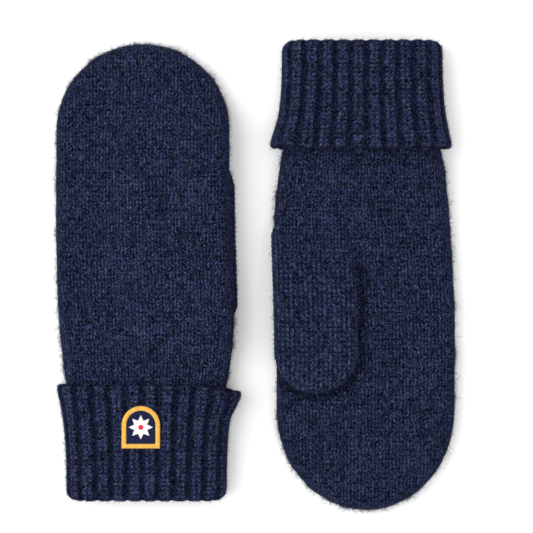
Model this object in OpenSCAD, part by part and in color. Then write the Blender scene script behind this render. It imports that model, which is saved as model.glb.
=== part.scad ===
// A pair of knitted wool mittens with turned-back ribbed cuffs, lying flat side by side.
// The left mitten lies on its palm, fingertips towards +Y, with its thumb folded under it.
// The right mitten lies on its back, fingertips towards -Y, with its thumb folded over the palm.
// Millimetres. The origin is the middle of the pair, on the surface it lies on, and +Z is up.
// Each mitten is drawn in its own frame: folded cuff edge at y = 0, fingertips towards +Y, thumb towards +X.

/* [Hand] */
// Width of the palm, lying flat
palm_w = 112; // [108:1:118]
// Width where the hand goes into the cuff
wrist_w = 99; // [96:1:101]
// Width of the finger section
finger_w = 110; // [106:1:114]
// Distance from the folded cuff edge to where the fingertips start to round
finger_y = 233; // [228:1:240]
// Length of the left mitten's rounded fingertips
left_tip_len = 55; // [48:1:64]
// Length of the right mitten's rounded fingertips
right_tip_len = 62; // [48:1:64]
// Thickness of the hand as it lies
hand_t = 17; // [16.6:0.2:18]

/* [Cuff] */
// Depth of the left mitten's turned-back cuff
left_cuff_len = 72; // [64:1:74]
// Depth of the right mitten's turned-back cuff
right_cuff_len = 67; // [64:1:74]
// Width of the cuff at its folded edge
fold_w = 101; // [99:1:104]
// Width of the cuff at its flared free edge
free_w = 115; // [112:1:120]
// Thickness of the whole cuff as it lies
cuff_t = 27; // [27:0.5:30]
// Thickness of the turned-back rib
turnback_wall = 4; // [3.6:0.1:4]
// Thickness of the rib sleeve under it
sleeve_wall = 3; // [2.6:0.1:3]

/* [Thumb] */
// Width of the thumb
thumb_w = 53; // [50:1:54]
// Distance of the thumb's middle line from the hand's
thumb_x = 32; // [31:0.5:33]
// Distance from the folded cuff edge to the middle of the thumb's root
thumb_root_y = 135; // [132:1:138]
// Distance from the middle of the root to the middle of the thumb's rounded tip
thumb_reach = 59.5; // [50:0.5:62]
// Thickness of the thumb as it lies
thumb_t = 11.6; // [11.6:0.1:12.4]
// Diameter of the opening between the palm and the thumb
thumb_mouth_d = 30; // [26:1:32]

/* [Fabric] */
// Thickness of the stockinette knit
knit_wall = 2.4; // [2.2:0.1:2.4]
// Thickness of the hand's fleece lining
lining_wall = 1.6; // [1.2:0.1:1.6]
// Thickness of the thumb's fleece lining
thumb_lining_wall = 1; // [0.8:0.1:1]
// Diameter of the yarn in the joining seams
seam_d = 1.8; // [1.4:0.1:1.8]

/* [Badge] */
// Width of the arched badge on the back of each cuff
badge_w = 24; // [20:1:28]
// Height of the badge
badge_h = 26.5; // [22:0.5:30]
// Width of the badge's stitched border
badge_border_w = 3; // [2.6:0.1:3.4]
// Height of the border above the rib
badge_t = 1.4; // [1.3:0.1:1.8]
// Distance from the folded cuff edge to the badge's lower edge
badge_y = 33.5; // [28:0.5:34]
// Distance of the badge's middle from the cuff's middle line
badge_x = -2.5; // [-6:0.5:6]

/* [Pair] */
// Distance between the two mittens' middle lines
pair_pitch = 136; // [132:0.5:150]
// How far the left mitten lies towards +Y from the pair's middle
left_shift = 3; // [-3:0.1:4]

/* [Hidden] */
SIDES = ["left", "right"];
PIECES = ["hand_shell", "cuff_sleeve", "cuff_turnback", "thumb_shell", "thumb_join_seam", "hand_lining",
    "thumb_lining", "lining_seam", "care_label", "badge_ground", "badge_border", "badge_star",
    "badge_star_centre", "badge_stitches"];

layer_gap = 0.2;        // between the knit and the lining inside it
slide_gap = 0.3;        // between layers that move on each other
sleeve_y = 3.8;         // where the sleeve starts, just inside the fold
join_y = 60;            // where the rib sleeve meets the hand's knit
palm_run = 60;          // length over which the wrist widens to the palm
wrist_y = 67;           // where the hand starts to widen, and to come down from the cuff
sink_run = 40;          // length over which it comes down to the table
flare = 3.2;            // how late the cuff's flare starts: 1 is a straight cone
tip_round = 14;         // length over which the fingertips thin out
thumb_round = 8;        // length over which the thumb's ends thin out
lining_inset = knit_wall + layer_gap;
badge_ground_t = 0.5;
stitch_len = 1.6;
stitch_w = 0.8;
stitch_pitch = 2.4;
groove_w = 1.1;
label_w = 14;
label_len = 22;
label_t = 0.5;
arc_n = 5;              // segments in each rounded side of a flattened tube
flat_n = 7;             // segments in its upper and its lower face

navy = [0.13, 0.15, 0.25];
dark_navy = [0.09, 0.10, 0.17];
fleece = [0.20, 0.21, 0.26];
gold = [0.98, 0.70, 0.22];

// ---- Shape of one mitten ----

function tip_len(side) = side == "left" ? left_tip_len : right_tip_len;
function cuff_len(side) = side == "left" ? left_cuff_len : right_cuff_len;
function ease(t) = let (s = max(0, min(1, t))) s * s * (3 - 2 * s);
function mix(a, b, t) = a + (b - a) * t;

// Cross-section of a flattened tube: two flat faces joined by half-round sides
function section(w, t) = let (flat = w - t) concat(
    [for (i = [0 : flat_n - 1]) [flat * (1 - 2 * i / flat_n), t]],
    [for (i = [0 : arc_n - 1]) [-flat - t * sin(180 * i / arc_n), t * cos(180 * i / arc_n)]],
    [for (i = [0 : flat_n - 1]) [-flat * (1 - 2 * i / flat_n), -t]],
    [for (i = [0 : arc_n - 1]) [flat + t * sin(180 * i / arc_n), -t * cos(180 * i / arc_n)]]);

// Height of the cuff's middle plane: the right cuff lies on its badge
function cuff_mid(side) = cuff_t / 2 + (side == "left" ? 0 : badge_t);

// Height by which the folded thumb lifts the left hand where it lies over it
function thumb_lift(side, x, y) = side == "right" ? 0 :
    (thumb_t + slide_gap)
    * ease((x - thumb_x + thumb_w / 2 + 35) / 32)
    * ease((y - thumb_root_y + thumb_w / 2 + 32) / 30)
    * (1 - ease((y - thumb_root_y - thumb_reach - thumb_w / 2 - 3) / 38));

function hand_mid(side, x, y) =
    mix(cuff_mid(side), hand_t / 2, ease((y - wrist_y) / sink_run)) + thumb_lift(side, x, y);

function hand_half_w(y) =
    let (grown = max(0, min(1, (y - wrist_y) / palm_run)))
    mix(wrist_w, palm_w, 1 - (1 - grown) * (1 - grown)) / 2
    - (palm_w - finger_w) / 2 * ease((y - thumb_root_y) / (finger_y - thumb_root_y));

// Distances along the hand at which its rings lie, as far as the rounded end of a layer inset by d
function body_stations(from) =
    concat([from], [for (y = [76, 86, 96, 107, 120, 140, 165, 190, 210, 224, finger_y]) if (y > from + 3) y]);
function hand_section(side, y, d, share) = let (
        w = (hand_half_w(y) - d) * sqrt(1 - share * share),
        thin_from = 1 - tip_round / tip_len(side),
        thin = max(0, (share - thin_from) / (1 - thin_from)),
        t = (hand_t / 2 - d) * sqrt(1 - thin * thin))
    section(w, min(t, w * 0.98));
// Every layer takes its height from the outer layer's points, so the layers stay parallel
function hand_ring(side, y, d, share) = let (
        p = hand_section(side, y, d, share),
        outer = hand_section(side, y, 0, share))
    [for (i = [0 : len(p) - 1]) [p[i][0], y, p[i][1] + hand_mid(side, outer[i][0], y)]];
function hand_rings(side, from, d) = concat(
    [for (y = body_stations(from)) hand_ring(side, y, d, 0)],
    [for (i = [1 : 7]) let (u = sin(90 * i / 8)) hand_ring(side, finger_y + u * (tip_len(side) - d), d, u)]);
function hand_tip(side, d) = let (y = finger_y + tip_len(side) - d) [0, y, hand_mid(side, 0, y)];

function cuff_half_w(side, y) = mix(fold_w, free_w, pow(max(0, y) / cuff_len(side), flare)) / 2;
function sleeve_half_w(y) =
    mix(fold_w / 2 - turnback_wall - slide_gap - 0.1, wrist_w / 2 - 0.2, pow(max(0, y) / join_y, flare));
function cuff_ring(side, y, d) =
    [for (p = section(cuff_half_w(side, y) - d, cuff_t / 2 - d)) [p[0], y, p[1] + cuff_mid(side)]];
function sleeve_ring(side, y, d) =
    [for (p = section(sleeve_half_w(y) - d, cuff_t / 2 - turnback_wall - slide_gap - d))
        [p[0], y, p[1] + cuff_mid(side)]];

// The thumb in its own frame: middle of the root at the origin, tip towards +Y
function thumb_ring(y, d) = let (
        r = thumb_w / 2 - d,
        over = y < 0 ? -y : max(0, y - thumb_reach),
        w = sqrt(r * r - over * over),
        from_end = min(1, (r - over) / thumb_round),
        t = (thumb_t / 2 - d) * sqrt(1 - (1 - from_end) * (1 - from_end)))
    [for (p = section(w, min(t, w * 0.98))) [p[0], y, p[1]]];
function thumb_rings(d) = let (r = thumb_w / 2 - d) concat(
    [for (i = [1 : 5]) thumb_ring(-r * cos(18 * i), d)],
    [thumb_ring(thumb_reach / 2, d)],
    [for (i = [5 : -1 : 1]) thumb_ring(thumb_reach + r * cos(18 * i), d)]);
function thumb_z(side) = side == "left" ? thumb_t / 2 : hand_t + slide_gap + thumb_t / 2;

// ---- Skins over rings ----

function strip(n, a, b, other = false) = [for (i = [0 : n - 1]) let (k = (i + 1) % n)
    each other ? [[a * n + i, a * n + k, b * n + i], [a * n + k, b * n + k, b * n + i]]
        : [[a * n + i, a * n + k, b * n + k], [a * n + i, b * n + k, b * n + i]]];

// A closed skin over rings, drawn to a point at each end. The first ones may run backwards: their faces
// are split along the other diagonal, so a layer's two sides bend alike.
module skin(rings, first_point, last_point, backward_rings = 0) {
    n = len(rings[0]);
    m = len(rings);
    polyhedron(
        points = concat([for (r = rings) each r], [first_point, last_point]),
        faces = concat(
            [for (j = [0 : m - 2]) each strip(n, j, j + 1, j < backward_rings - 1)],
            [for (i = [0 : n - 1]) [(i + 1) % n, i, m * n]],
            [for (i = [0 : n - 1]) [(m - 1) * n + i, (m - 1) * n + (i + 1) % n, m * n + 1]]));
}

// A closed skin over rings that come back to the first one, as round a tube's wall
module tube_skin(rings) {
    n = len(rings[0]);
    m = len(rings);
    polyhedron(
        points = [for (r = rings) each r],
        faces = [for (j = [0 : m - 1]) each strip(n, j, (j + 1) % m)]);
}

function backwards(v) = [for (i = [len(v) - 1 : -1 : 0]) v[i]];

// A bag in the shape of the hand, its wall between the insets d_out and d_in
module hand_bag(side, from, d_out, d_in) {
    inner = backwards(hand_rings(side, from, d_in));
    skin(
        concat(inner, hand_rings(side, from, d_out)),
        hand_tip(side, d_in),
        hand_tip(side, d_out),
        len(inner));
}

module thumb_pillow(d) {
    r = thumb_w / 2 - d;
    skin(thumb_rings(d), [0, -r, 0], [0, thumb_reach + r, 0]);
}

// The round way from the palm into the thumb: up on the right mitten, down on the left
module thumb_way(side, from_z, depth) {
    translate([thumb_x, thumb_root_y, side == "left" ? from_z - depth : from_z])
        cylinder(d = thumb_mouth_d, h = depth, $fn = 64);
}

// A round yarn laid along a flattened ring
module yarn_loop(w, t, y, z) {
    tube_skin([for (a = [0 : 60 : 300])
        [for (p = section(w + seam_d / 2 * cos(a), t + seam_d / 2 * cos(a)))
            [p[0], y + seam_d / 2 * sin(a), p[1] + z]]]);
}

// ---- Pieces of one mitten ----

module hand_shell(side) {
    color(navy) difference() {
        hand_bag(side, join_y, 0, knit_wall);
        thumb_way(side, hand_mid(side, thumb_x, thumb_root_y), hand_t);
    }
}

module hand_lining(side) {
    color(fleece) difference() {
        hand_bag(side, join_y + 1, lining_inset, lining_inset + lining_wall);
        thumb_way(side, hand_mid(side, thumb_x, thumb_root_y), hand_t);
    }
}

module cuff_sleeve(side) {
    stations = [sleeve_y, 20, 35, 48, join_y];
    color(dark_navy) tube_skin(concat(
        [for (y = stations) sleeve_ring(side, y, 0)],
        [for (y = backwards(stations)) sleeve_ring(side, y, sleeve_wall)]));
}

// The outer rib layer, whose folded edge curls in over the sleeve's end
module cuff_turnback(side) {
    lip = turnback_wall + slide_gap + sleeve_wall - 0.1;
    end = cuff_len(side);
    profile = [
        [lip, sleeve_y - slide_gap], [lip, 1.4], [lip - 1.6, 0], [turnback_wall - 0.4, 0], [1.4, 1], [0.3, 3.2],
        [0, 6], [0, 20], [0, 35], [0, 50], [0, end - 7], [0.6, end - 1], [2, end],
        [3.4, end - 1], [turnback_wall, end - 5], [turnback_wall, 50], [turnback_wall, 35],
        [turnback_wall, 20], [turnback_wall, sleeve_y - slide_gap]];
    color(navy) tube_skin([for (p = profile) cuff_ring(side, p[1], p[0])]);
}

module thumb_shell(side) {
    color(navy) difference() {
        translate([thumb_x, thumb_root_y, thumb_z(side)]) difference() {
            thumb_pillow(0);
            thumb_pillow(knit_wall);
        }
        thumb_way(side == "left" ? "right" : "left", thumb_z(side), thumb_t);
    }
}

module thumb_lining(side) {
    color(fleece) difference() {
        translate([thumb_x, thumb_root_y, thumb_z(side)]) difference() {
            thumb_pillow(knit_wall + layer_gap / 2);
            thumb_pillow(knit_wall + layer_gap / 2 + thumb_lining_wall);
        }
        thumb_way(side == "left" ? "right" : "left", thumb_z(side), thumb_t);
    }
}

// The ring of yarn that joins the thumb's opening to the palm
module thumb_join_seam(side) {
    z = side == "left" ? thumb_t + slide_gap + knit_wall / 2 : hand_t - knit_wall / 2;
    color(dark_navy) translate([thumb_x, thumb_root_y, z])
        rotate_extrude($fn = 64)
            translate([thumb_mouth_d / 2 - seam_d / 2 - layer_gap, 0]) circle(d = seam_d, $fn = 24);
}

// The yarn that sews the lining's edge to the sleeve
module lining_seam(side) {
    room = sleeve_wall + seam_d / 2 + layer_gap;
    color(dark_navy) yarn_loop(sleeve_half_w(join_y) - room,
        cuff_t / 2 - turnback_wall - slide_gap - room, join_y - seam_d / 2, cuff_mid(side));
}

// A blank woven label that hangs from the lining's seam into the cuff
module care_label(side) {
    inner_t = cuff_t / 2 - turnback_wall - slide_gap - sleeve_wall;
    color("white") translate([-30 - label_w / 2, join_y - seam_d - label_len, cuff_mid(side) - inner_t + layer_gap])
        cube([label_w, label_len, label_t]);
}

// ---- Badge on the back of the cuff: up on the left mitten, down on the right ----

module on_cuff_back(side) {
    translate([badge_x, badge_y, cuff_mid(side)])
        mirror([0, 0, side == "left" ? 0 : 1])
            translate([0, 0, cuff_t / 2]) children();
}

// An arched outline inset by d, its lower edge on the x axis when d is 0
module arch(d) {
    half = badge_w / 2;
    translate([-half + d, d]) square([badge_w - 2 * d, badge_h - half - d]);
    translate([0, badge_h - half]) circle(r = half - d, $fn = 96);
}

module badge_ground(side) {
    color([0.12, 0.14, 0.27]) on_cuff_back(side) linear_extrude(badge_ground_t) arch(0);
}

module badge_border(side) {
    middle = badge_border_w / 2;
    color(gold) on_cuff_back(side) difference() {
        translate([0, 0, badge_ground_t]) linear_extrude(badge_t - badge_ground_t) difference() {
            arch(0);
            arch(badge_border_w);
        }
        translate([0, 0, badge_t - 0.35]) linear_extrude(1) difference() {
            arch(middle - groove_w / 2);
            arch(middle + groove_w / 2);
        }
    }
}

// A bar of thread, lying in the border's groove
module stitch(x, y, turn) {
    translate([x, y, badge_t - 0.35]) rotate(turn)
        translate([-stitch_len / 2, -stitch_w / 2, 0]) cube([stitch_len, stitch_w, 0.3]);
}

module badge_stitches(side) {
    d = badge_border_w / 2;
    half = badge_w / 2 - d;
    bottom_n = floor((badge_w - 2 * d) / stitch_pitch);
    side_n = floor((badge_h - badge_w / 2 - d) / stitch_pitch);
    arc_turn = stitch_pitch / half * 180 / PI;
    color(gold) on_cuff_back(side) {
        for (i = [0 : bottom_n - 1]) stitch((i - (bottom_n - 1) / 2) * stitch_pitch, d, 0);
        for (i = [0 : side_n - 1], s = [-1, 1]) stitch(s * half, d + (i + 0.75) * stitch_pitch, 90);
        for (i = [0 : floor(90 / arc_turn)], s = [-1, 1]) if (i > 0 || s > 0)
            let (a = 90 + s * i * arc_turn)
                stitch(half * cos(a), badge_h - badge_w / 2 + half * sin(a), a + 90);
    }
}

// An eight-petalled star: four crossed bars with pointed ends
module star_shape(reach, w) {
    for (a = [0 : 45 : 315])
        rotate(a) polygon([[0, 0], [reach * 0.45, -w / 2], [reach, 0], [reach * 0.45, w / 2]]);
}

module badge_star(side) {
    color("white") on_cuff_back(side)
        translate([0, badge_h / 2, badge_ground_t]) linear_extrude(0.4) difference() {
            star_shape(7.6, 4.2);
            circle(r = 2.3, $fn = 48);
        }
}

module badge_star_centre(side) {
    color([0.85, 0.06, 0.2]) on_cuff_back(side)
        translate([0, badge_h / 2, badge_ground_t]) cylinder(r = 2.2, h = 0.5, $fn = 48);
}

// ---- The pair ----

module place(side) {
    left_middle = (finger_y + left_tip_len) / 2 - left_shift;
    right_middle = (finger_y + right_tip_len) / 2;
    if (side == "left") translate([-pair_pitch / 2, -left_middle, 0]) children();
    else translate([pair_pitch / 2, right_middle, 0]) rotate(180) children();
}

for (side = SIDES) place(side) {
    hand_shell(side);
    cuff_sleeve(side);
    cuff_turnback(side);
    thumb_shell(side);
    thumb_join_seam(side);
    hand_lining(side);
    thumb_lining(side);
    lining_seam(side);
    care_label(side);
    badge_ground(side);
    badge_border(side);
    badge_star(side);
    badge_star_centre(side);
    badge_stitches(side);
}
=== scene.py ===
import math

import bmesh
import bpy
import numpy as np
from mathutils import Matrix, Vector


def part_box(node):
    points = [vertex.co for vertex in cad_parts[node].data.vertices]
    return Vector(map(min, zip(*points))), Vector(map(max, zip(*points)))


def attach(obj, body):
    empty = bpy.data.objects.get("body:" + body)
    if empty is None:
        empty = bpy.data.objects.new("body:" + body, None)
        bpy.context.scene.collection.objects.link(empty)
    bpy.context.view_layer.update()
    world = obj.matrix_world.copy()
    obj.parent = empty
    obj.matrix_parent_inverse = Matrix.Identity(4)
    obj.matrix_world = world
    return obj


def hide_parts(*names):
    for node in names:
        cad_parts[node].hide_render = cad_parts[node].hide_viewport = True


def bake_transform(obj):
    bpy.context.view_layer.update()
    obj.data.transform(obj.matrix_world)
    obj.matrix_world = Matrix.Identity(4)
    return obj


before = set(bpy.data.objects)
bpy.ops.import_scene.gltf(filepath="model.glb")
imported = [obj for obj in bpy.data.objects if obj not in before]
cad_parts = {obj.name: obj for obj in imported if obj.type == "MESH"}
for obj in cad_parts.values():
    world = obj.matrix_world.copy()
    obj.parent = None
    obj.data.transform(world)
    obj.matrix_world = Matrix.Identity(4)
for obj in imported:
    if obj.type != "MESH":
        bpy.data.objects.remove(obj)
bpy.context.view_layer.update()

# A pair of knitted mittens. Each mitten is worked out in millimetres in its own frame: folded cuff edge
# at y = 0, fingertips towards +y, thumb towards +x. It is turned into the pair's frame at the end.
mm = 0.001
sides = ("left", "right")


def measure(side):
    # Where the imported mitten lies, and its main sizes
    cuffLow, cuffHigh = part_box(side + "_cuff_turnback")
    handLow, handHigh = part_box(side + "_hand_shell")
    thumbLow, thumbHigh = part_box(side + "_thumb_shell")
    turn = 1 if side == "left" else -1
    x = (cuffLow.x + cuffHigh.x) / 2
    foldY = cuffLow.y if turn > 0 else cuffHigh.y
    tipY = handHigh.y if turn > 0 else handLow.y
    thumbYs = sorted(((thumbLow.y - foldY) * turn, (thumbHigh.y - foldY) * turn))
    return {
        "turn": turn, "x": x, "y": foldY,
        "tip": abs(tipY - foldY) / mm,
        "cuffDepth": (cuffHigh.y - cuffLow.y) / mm,
        "cuffHalfThick": (cuffHigh.z - cuffLow.z) / 2 / mm,
        "cuffMid": (cuffHigh.z + cuffLow.z) / 2 / mm,
        "thumbX": ((thumbLow.x + thumbHigh.x) / 2 - x) * turn / mm,
        "thumbHalf": (thumbHigh.x - thumbLow.x) / 2 / mm,
        "thumbFrom": thumbYs[0] / mm, "thumbTo": thumbYs[1] / mm,
        "thumbLow": thumbLow.z / mm, "thumbHigh": thumbHigh.z / mm}


places = {side: measure(side) for side in sides}


def ease(t):
    t = np.clip(t, 0, 1)
    return t * t * (3 - 2 * t)


def ripples(x, y, size, seed):
    # A smooth random field, about -1 to 1, with bumps of the given size
    dice = np.random.RandomState(seed)
    total = np.zeros_like(x)
    for _ in range(14):
        way = dice.uniform(0, 2 * math.pi)
        wave = 2 * math.pi / (size * dice.uniform(0.7, 1.6))
        total += np.sin(wave * (x * math.cos(way) + y * math.sin(way)) + dice.uniform(0, 6.28))
    return total / 5


def scatter(column, row, seed):
    # One random number, 0 to 1, for each stitch
    table = np.random.RandomState(seed).rand(97, 89)
    return table[np.mod(column.astype(int), 97), np.mod(row.astype(int), 89)]


def getPoints(mesh):
    flat = np.empty(len(mesh.vertices) * 3)
    mesh.vertices.foreach_get("co", flat)
    return flat.reshape(-1, 3)


def setPoints(mesh, points):
    mesh.vertices.foreach_set("co", points.ravel())
    mesh.update()


def setAttribute(mesh, name, values):
    layer = mesh.attributes.get(name) or mesh.attributes.new(name, "FLOAT", "POINT")
    layer.data.foreach_set("value", np.asarray(values, dtype=np.float32))


def leanAt(y):
    # The hands don't lie quite straight: they lean away from their thumbs
    return -hand["lean"] * ease((y - 85) / 115)


def toPair(side, points):
    place = places[side]
    out = points * mm
    out[:, 0] = place["x"] + place["turn"] * (out[:, 0] + leanAt(points[:, 1]) * mm)
    out[:, 1] = place["y"] + place["turn"] * out[:, 1]
    return out


def finishPiece(name, mesh, material, body, nodes):
    for polygon in mesh.polygons:
        polygon.use_smooth = True
    piece = bpy.data.objects.new(name, mesh)
    bpy.context.scene.collection.objects.link(piece)
    mesh.materials.clear()
    mesh.materials.append(material)
    if body:
        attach(piece, body)
    if nodes:
        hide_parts(*nodes)
    return piece


def trimRound(bm, centre, direction, halfWide, length, cuts=36):
    # Cuts the sheet's end to half an ellipse, straight through the stitches
    for i in range(1, cuts):
        turn = math.pi * i / cuts
        across, along = math.cos(turn), math.sin(turn) * direction
        spot = Vector((halfWide * across, centre + length * along, 0))
        way = Vector((across / halfWide, along / length, 0)).normalized()
        verts = [v for v in bm.verts if (v.co.y - centre) * direction > -3]
        near = set(verts)
        edges = [e for e in bm.edges if e.verts[0] in near and e.verts[1] in near]
        faces = [f for f in bm.faces if all(v in near for v in f.verts)]
        bmesh.ops.bisect_plane(bm, geom=verts + edges + faces, plane_co=spot, plane_no=way,
                               clear_outer=True)


def flatSheets(form, columns, rows, slant=None):
    # The bag's two sheets, still flat, cut to its outline: the upper at z = 1 and the lower at z = -1
    bm = bmesh.new()
    bmesh.ops.create_grid(bm, x_segments=columns, y_segments=rows, size=1)
    low, high = form["along"]
    for v in bm.verts:
        v.co.x *= form["knitHalf"]
        v.co.y = low + (v.co.y + 1) / 2 * (high - low)
        if slant:
            v.co.y += slant(v.co.x) * min(1, max(0, (v.co.y - low) / 6))
    spare = (math.pi / 2 - 1) * form["halfThick"]
    for centre, direction, length in form["ends"]:
        trimRound(bm, centre, direction, form["knitHalf"], length + spare)
    bmesh.ops.remove_doubles(bm, verts=bm.verts, dist=0.05)
    upper = bm.verts[:] + bm.edges[:] + bm.faces[:]
    lower = bmesh.ops.duplicate(bm, geom=upper)["geom"]
    for part in upper:
        if isinstance(part, bmesh.types.BMVert):
            part.co.z = 1
    for part in lower:
        if isinstance(part, bmesh.types.BMVert):
            part.co.z = -1
    bmesh.ops.reverse_faces(bm, faces=[part for part in lower if isinstance(part, bmesh.types.BMFace)])
    mesh = bpy.data.meshes.new("sheets")
    bm.to_mesh(mesh)
    bm.free()
    return mesh


def onPillow(across, along, upper, form):
    # Wraps the flat sheets round a flat pillow: place, outward direction and distance in from the side line
    thick = form["halfThick"]
    spare = (math.pi / 2 - 1) * thick
    half = form["halfWidth"](along) + spare
    x = across / form["knitHalf"] * half
    depth = half - np.abs(x)
    inX, inY = -np.sign(x), np.zeros_like(x)
    for centre, direction, length in form["ends"]:
        beyond = (along - centre) * direction
        reach = length + spare
        ratio = np.hypot(x / half, beyond / reach) + 1e-9
        leanX, leanY = x / half ** 2, beyond / reach ** 2
        steep = np.hypot(leanX, leanY) + 1e-9
        past = beyond > 0
        depth = np.where(past, (1 - ratio) * ratio / steep, depth)
        inX = np.where(past, -leanX / steep, inX)
        inY = np.where(past, -leanY / steep * direction, inY)
    depth = np.where(depth < 0.03, 0, depth)
    turn = np.minimum(depth / thick, math.pi / 2)
    shift = np.where(turn < math.pi / 2, spare - depth + thick * (1 - np.cos(turn)), 0)
    points = np.stack([x + inX * shift, along + inY * shift, upper * thick * np.sin(turn)], 1)
    normals = np.stack([-inX * np.cos(turn), -inY * np.cos(turn), upper * np.sin(turn)], 1)
    return points, normals, depth


def weld(mesh, reach=0.01):
    bm = bmesh.new()
    bm.from_mesh(mesh)
    bmesh.ops.remove_doubles(bm, verts=bm.verts, dist=reach * mm)
    bm.to_mesh(mesh)
    bm.free()


def makeGrid(columns, rows):
    # A flat grid, with the column and row of each of its points
    bm = bmesh.new()
    bmesh.ops.create_grid(bm, x_segments=columns, y_segments=rows, size=1)
    mesh = bpy.data.meshes.new("grid")
    bm.to_mesh(mesh)
    bm.free()
    flat = getPoints(mesh)
    column, row = np.rint((flat[:, 0] + 1) / 2 * columns), np.rint((flat[:, 1] + 1) / 2 * rows)
    return mesh, column.astype(int), row.astype(int)


def closeUp(*meshes, reach=0.02):
    # Puts meshes together, merges the points that meet and turns the faces outwards
    bm = bmesh.new()
    for mesh in meshes:
        bm.from_mesh(mesh)
    bmesh.ops.remove_doubles(bm, verts=bm.verts, dist=reach * mm)
    bmesh.ops.dissolve_degenerate(bm, edges=bm.edges, dist=reach * mm / 4)
    bmesh.ops.recalc_face_normals(bm, faces=bm.faces)
    whole = bpy.data.meshes.new("closed")
    bm.to_mesh(whole)
    bm.free()
    return whole


def nestSkins(outer, inner):
    # A hollow piece of two closed skins: the outer faces out and the inner faces into the hollow
    outer, inner = closeUp(outer, reach=0.002), closeUp(inner, reach=0.002)
    inner.flip_normals()
    bm = bmesh.new()
    bm.from_mesh(outer)
    bm.from_mesh(inner)
    whole = bpy.data.meshes.new("hollow")
    bm.to_mesh(whole)
    bm.free()
    return whole


def joinWalls(side, outer, inner, rimY):
    # Joins an outer and an inner skin at their open rims, rimY along the mitten, so the wall is closed
    rim = places[side]["y"] + places[side]["turn"] * rimY * mm
    bm = bmesh.new()
    bm.from_mesh(outer)
    bm.from_mesh(inner)
    rims = [e for e in bm.edges if e.is_boundary and all(abs(v.co.y - rim) < 0.4 * mm for v in e.verts)]
    bmesh.ops.bridge_loops(bm, edges=rims)
    bmesh.ops.recalc_face_normals(bm, faces=bm.faces)
    whole = bpy.data.meshes.new("wall")
    bm.to_mesh(whole)
    bm.free()
    return whole


def addNode(tree, kind, **values):
    node = tree.nodes.new(kind)
    for key, value in values.items():
        setattr(node, key, value)
    return node


def makeGroup(name, inputs, outputs):
    group = bpy.data.node_groups.new(name, "ShaderNodeTree")
    for label, kind, value in inputs:
        socket = group.interface.new_socket(label, in_out="INPUT", socket_type=kind)
        if value is not None:
            socket.default_value = value
    for label, kind in outputs:
        group.interface.new_socket(label, in_out="OUTPUT", socket_type=kind)
    return group, group.nodes.new("NodeGroupInput"), group.nodes.new("NodeGroupOutput")


def noiseNode(tree, vector, scale, detail, roughness=0.55):
    node = addNode(tree, "ShaderNodeTexNoise")
    node.inputs["Scale"].default_value = scale
    node.inputs["Detail"].default_value = detail
    node.inputs["Roughness"].default_value = roughness
    tree.links.new(vector, node.inputs["Vector"])
    return node


def mathNode(tree, operation, a, b):
    node = addNode(tree, "ShaderNodeMath", operation=operation)
    for socket, value in zip(node.inputs, (a, b)):
        if isinstance(value, (int, float)):
            socket.default_value = value
        else:
            tree.links.new(value, socket)
    return node.outputs[0]


def mapRange(tree, value, low, high, outLow, outHigh):
    node = addNode(tree, "ShaderNodeMapRange", clamp=True)
    tree.links.new(value, node.inputs["Value"])
    for key, number in zip(("From Min", "From Max", "To Min", "To Max"), (low, high, outLow, outHigh)):
        node.inputs[key].default_value = number
    return node.outputs[0]


def mixColour(tree, factor, a, b):
    node = addNode(tree, "ShaderNodeMix", data_type="RGBA")
    tree.links.new(factor, node.inputs["Factor"])
    for socket, value in ((node.inputs["A"], a), (node.inputs["B"], b)):
        if isinstance(value, tuple):
            socket.default_value = value
        else:
            tree.links.new(value, socket)
    return node.outputs["Result"]


wool = {
    "dark": (0.0010, 0.0014, 0.0050, 1), "middle": (0.0130, 0.0175, 0.0440, 1),
    "pale": (0.064, 0.087, 0.200, 1), "hair": (0.13, 0.15, 0.20, 1),
    "blueDye": (0.93, 0.96, 1.09, 1), "charcoalDye": (1.38, 1.18, 0.76, 1),
    "fleckScale": 1600, "fineScale": 2600, "patchScale": 150, "fleckShare": 0.74, "paintedStitchShade": 0.19,
    "fineShare": 0.13, "tintShare": 0.05, "patchShare": 0.04, "rareHair": 0.972,
    "sheen": 0.09, "bump": 0.9, "bumpDepth": 0.0006}


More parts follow.
